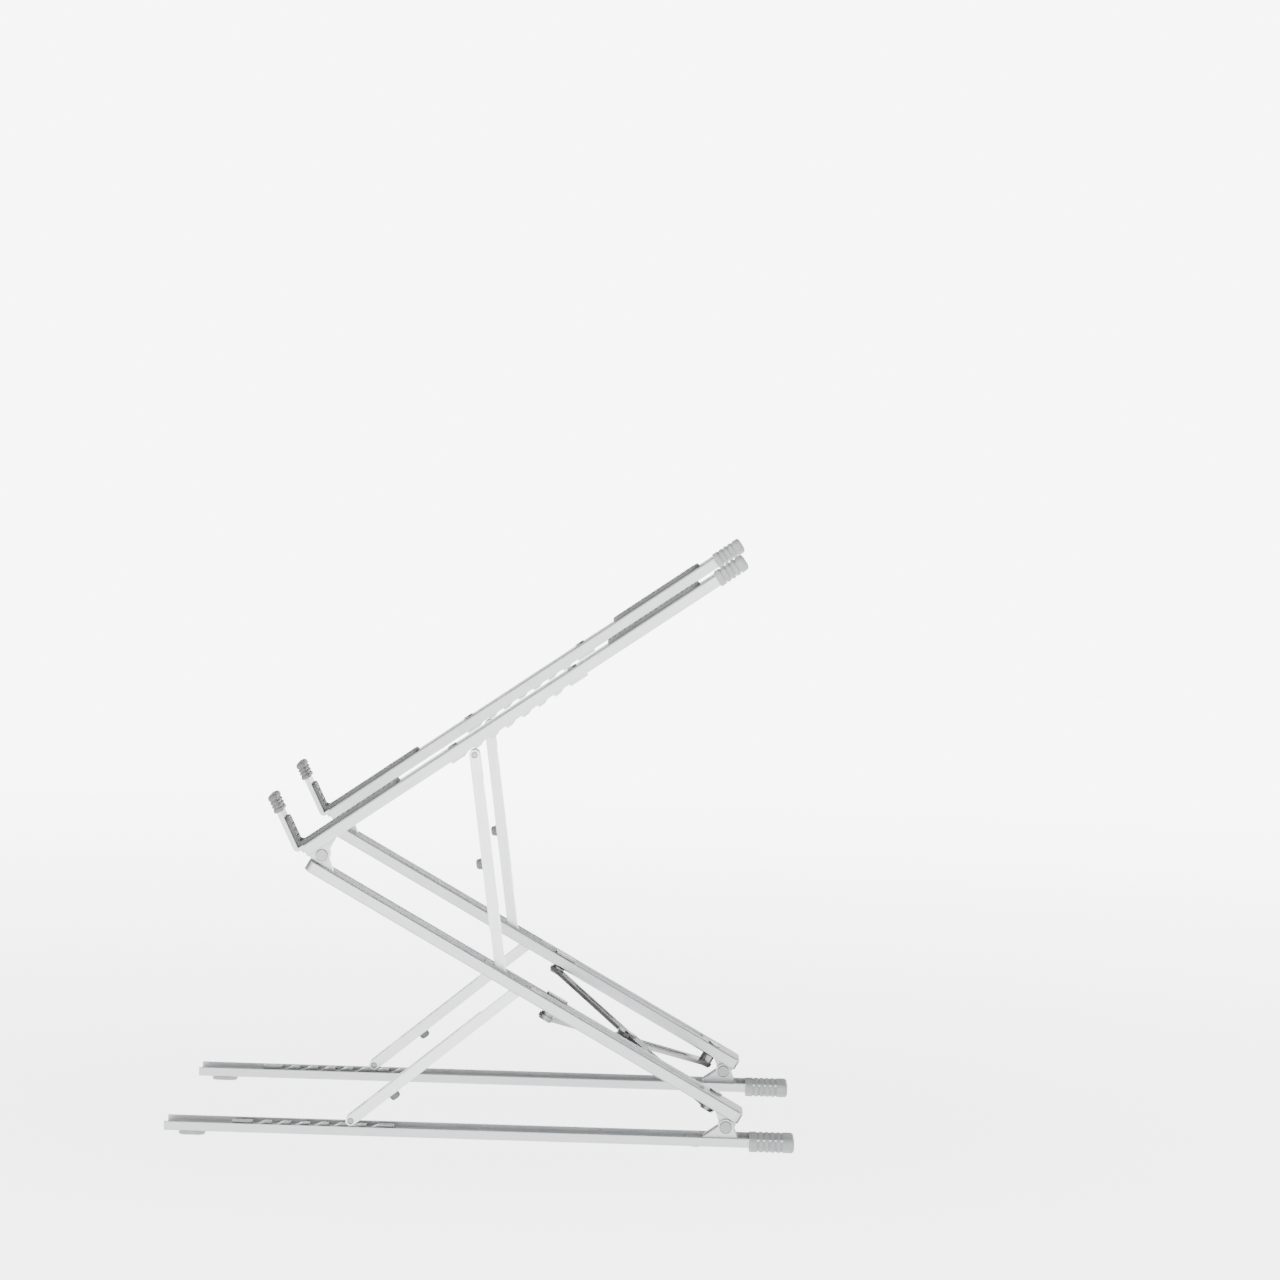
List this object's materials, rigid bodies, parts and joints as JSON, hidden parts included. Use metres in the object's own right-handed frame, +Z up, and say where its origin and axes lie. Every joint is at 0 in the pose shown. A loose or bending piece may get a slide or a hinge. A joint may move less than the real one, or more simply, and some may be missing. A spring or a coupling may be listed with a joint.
{
  "type": "laptop stand",
  "caption": "Foldable two-layer laptop stand of flat aluminium bars with hooked carrying rails, notched props and crossed brace bars that let it close to a bundle.",
  "frame": {"origin": "on the desk surface under the middle of the stand's box", "axes": "+X to the user's right, -Y to the user (the hooks' side), +Z up"},
  "size_m": [0.1812, 0.265, 0.2504],
  "materials": {
    "satin_aluminium": "bead-blasted, clear anodised",
    "brace_aluminium": "satin, brushed along the bar",
    "rack_aluminium": "milled, fine satin",
    "steel": "turned, nickel-plated",
    "silicone": "matt grey silicone",
    "foot_rubber": "matt grey rubber"
  },
  "bodies": {
    "right_base": {"right_base_rail": "satin_aluminium", "right_base_rack": "rack_aluminium", "right_base_bracket": "satin_aluminium", "right_base_rivets": "steel", "right_front_foot": "foot_rubber", "right_rear_foot": "foot_rubber", "right_rear_hinge_pin": "steel"},
    "right_arm": {"right_arm": "satin_aluminium", "right_lower_leg_pivot": "steel", "right_upper_leg_pivot": "steel", "right_brace_rivet": "steel"},
    "right_lower_leg": {"right_lower_leg": "satin_aluminium", "right_lower_lock_pin": "steel", "right_lower_bumper": "silicone"},
    "right_upper_leg": {"right_upper_leg": "satin_aluminium", "right_upper_lock_pin": "steel", "right_upper_bumper": "silicone"},
    "right_carry": {"right_carry_rail": "satin_aluminium", "right_carry_rack": "rack_aluminium", "right_carry_bracket": "satin_aluminium", "right_carry_rivets": "steel", "right_front_hinge_pin": "steel", "right_hook_cap": "silicone", "right_front_pad": "silicone", "right_rear_pad": "silicone", "right_rail_cap": "foot_rubber"},
    "left_base": {"left_base_rail": "satin_aluminium", "left_base_rack": "rack_aluminium", "left_base_bracket": "satin_aluminium", "left_base_rivets": "steel", "left_front_foot": "foot_rubber", "left_rear_foot": "foot_rubber", "left_rear_hinge_pin": "steel"},
    "left_arm": {"left_arm": "satin_aluminium", "left_lower_leg_pivot": "steel", "left_upper_leg_pivot": "steel", "left_brace_rivet": "steel"},
    "left_lower_leg": {"left_lower_leg": "satin_aluminium", "left_lower_lock_pin": "steel", "left_lower_bumper": "silicone"},
    "left_upper_leg": {"left_upper_leg": "satin_aluminium", "left_upper_lock_pin": "steel", "left_upper_bumper": "silicone"},
    "left_carry": {"left_carry_rail": "satin_aluminium", "left_carry_rack": "rack_aluminium", "left_carry_bracket": "satin_aluminium", "left_carry_rivets": "steel", "left_front_hinge_pin": "steel", "left_hook_cap": "silicone", "left_front_pad": "silicone", "left_rear_pad": "silicone", "left_rail_cap": "foot_rubber"},
    "brace_a": {"brace_bar_a": "brace_aluminium", "brace_centre_rivet": "steel"},
    "brace_b": {"brace_bar_b": "brace_aluminium"},
    "left_shoe": {"left_shoe": "steel"},
    "right_shoe": {"right_shoe": "steel"}
  },
  "joints": [
    {"name": "lower_fold", "type": "hinge", "parent": "right_base", "child": "right_arm", "pos_m": [0.08, 0.1035, 0.01], "axis": [1, 0, 0], "range_deg": [-3.2, 28.87]},
    {"name": "upper_fold", "type": "hinge", "parent": "right_arm", "child": "right_carry", "pos_m": [0.08, -0.0692, 0.1196], "axis": [-1, 0, 0], "range_deg": [0, 63.87]},
    {"name": "right_lower_leg_fold", "type": "hinge", "parent": "right_arm", "child": "right_lower_leg", "pos_m": [0.08, 0.01547, 0.06573], "axis": [-1, 0, 0], "range_deg": [-7.62, 68.62]},
    {"name": "right_upper_leg_fold", "type": "hinge", "parent": "right_arm", "child": "right_upper_leg", "pos_m": [0.08, 0.00706, 0.07036], "axis": [-1, 0, 0], "range_deg": [0, 127.13]},
    {"name": "width_fold", "type": "hinge", "parent": "right_arm", "child": "brace_a", "pos_m": [0.0729, 0.09605, 0.01719], "axis": [0, 0.4828, 0.8757], "range_deg": [0, 59.15]},
    {"name": "brace_cross", "type": "hinge", "parent": "brace_a", "child": "brace_b", "pos_m": [0, 0.06189, 0.03602], "axis": [0, 0.4828, 0.8757], "range_deg": [-118.31, 0]},
    {"name": "left_arm_swing", "type": "hinge", "parent": "brace_b", "child": "left_arm", "pos_m": [-0.0729, 0.09605, 0.01719], "axis": [0, 0.4828, 0.8757], "range_deg": [0, 59.16]},
    {"name": "left_shoe_turn", "type": "hinge", "parent": "brace_a", "child": "left_shoe", "pos_m": [-0.0729, 0.02774, 0.05485], "axis": [0, 0.4828, 0.8757], "range_deg": [-59.16, 0]},
    {"name": "right_shoe_turn", "type": "hinge", "parent": "brace_b", "child": "right_shoe", "pos_m": [0.0729, 0.02774, 0.05485], "axis": [0, 0.4828, 0.8757], "range_deg": [0, 59.16]},
    {"name": "left_lower_fold", "type": "hinge", "parent": "left_arm", "child": "left_base", "pos_m": [-0.08, 0.1035, 0.01], "axis": [1, 0, 0], "range_deg": [-28.88, 3.21]},
    {"name": "left_upper_fold", "type": "hinge", "parent": "left_arm", "child": "left_carry", "pos_m": [-0.08, -0.0692, 0.1196], "axis": [-1, 0, 0], "range_deg": [0, 63.88]},
    {"name": "left_lower_leg_fold", "type": "hinge", "parent": "left_arm", "child": "left_lower_leg", "pos_m": [-0.08, 0.01547, 0.06573], "axis": [-1, 0, 0], "range_deg": [-7.62, 68.62]},
    {"name": "left_upper_leg_fold", "type": "hinge", "parent": "left_arm", "child": "left_upper_leg", "pos_m": [-0.08, 0.00706, 0.07036], "axis": [-1, 0, 0], "range_deg": [0, 127.13]}
  ],
  "couplings": [
    {"joint": "right_lower_leg_fold", "follows": "lower_fold", "ratio": 2.3767},
    {"joint": "left_lower_leg_fold", "follows": "lower_fold", "ratio": 2.3767},
    {"joint": "left_lower_fold", "follows": "lower_fold", "ratio": -1},
    {"joint": "right_upper_leg_fold", "follows": "upper_fold", "ratio": 1.9903},
    {"joint": "left_upper_leg_fold", "follows": "upper_fold", "ratio": 1.9903},
    {"joint": "left_upper_fold", "follows": "upper_fold", "ratio": 1},
    {"joint": "brace_cross", "follows": "width_fold", "ratio": -2},
    {"joint": "left_arm_swing", "follows": "width_fold", "ratio": 1},
    {"joint": "left_shoe_turn", "follows": "width_fold", "ratio": -1},
    {"joint": "right_shoe_turn", "follows": "width_fold", "ratio": 1}
  ]
}
